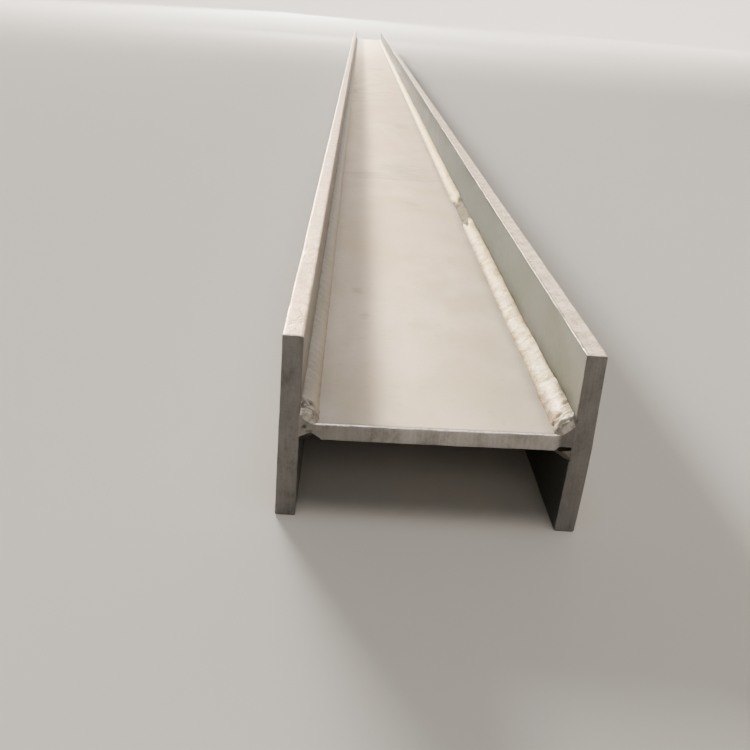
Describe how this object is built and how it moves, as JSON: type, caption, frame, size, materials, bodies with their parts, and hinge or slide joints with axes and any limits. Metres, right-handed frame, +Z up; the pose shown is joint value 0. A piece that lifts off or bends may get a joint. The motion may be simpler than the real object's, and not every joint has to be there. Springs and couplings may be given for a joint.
{
  "type": "steel i-beam",
  "caption": "Long straight steel beam of H-shaped section, built up from flat plates and joined by continuous weld beads, lying with its web level and its flanges upright.",
  "frame": {"origin": "on the floor plane under the middle of the beam, at the centre of what it rests on", "axes": "+X across the section from the left flange to the right flange, +Y along the beam from the front end to the back end, +Z up"},
  "size_m": [0.18, 6, 0.112],
  "materials": {
    "plate_steel": "pickled and blasted, matte satin, with stains and scratches",
    "weld_metal": "pickled weld bead, rippled and brighter than the plate"
  },
  "bodies": {
    "root": {"web_plate": "plate_steel", "flange_plate_left": "plate_steel", "flange_plate_right": "plate_steel", "weld_left_upper": "weld_metal", "weld_left_lower": "weld_metal", "weld_right_upper": "weld_metal", "weld_right_lower": "weld_metal"}
  },
  "joints": []
}
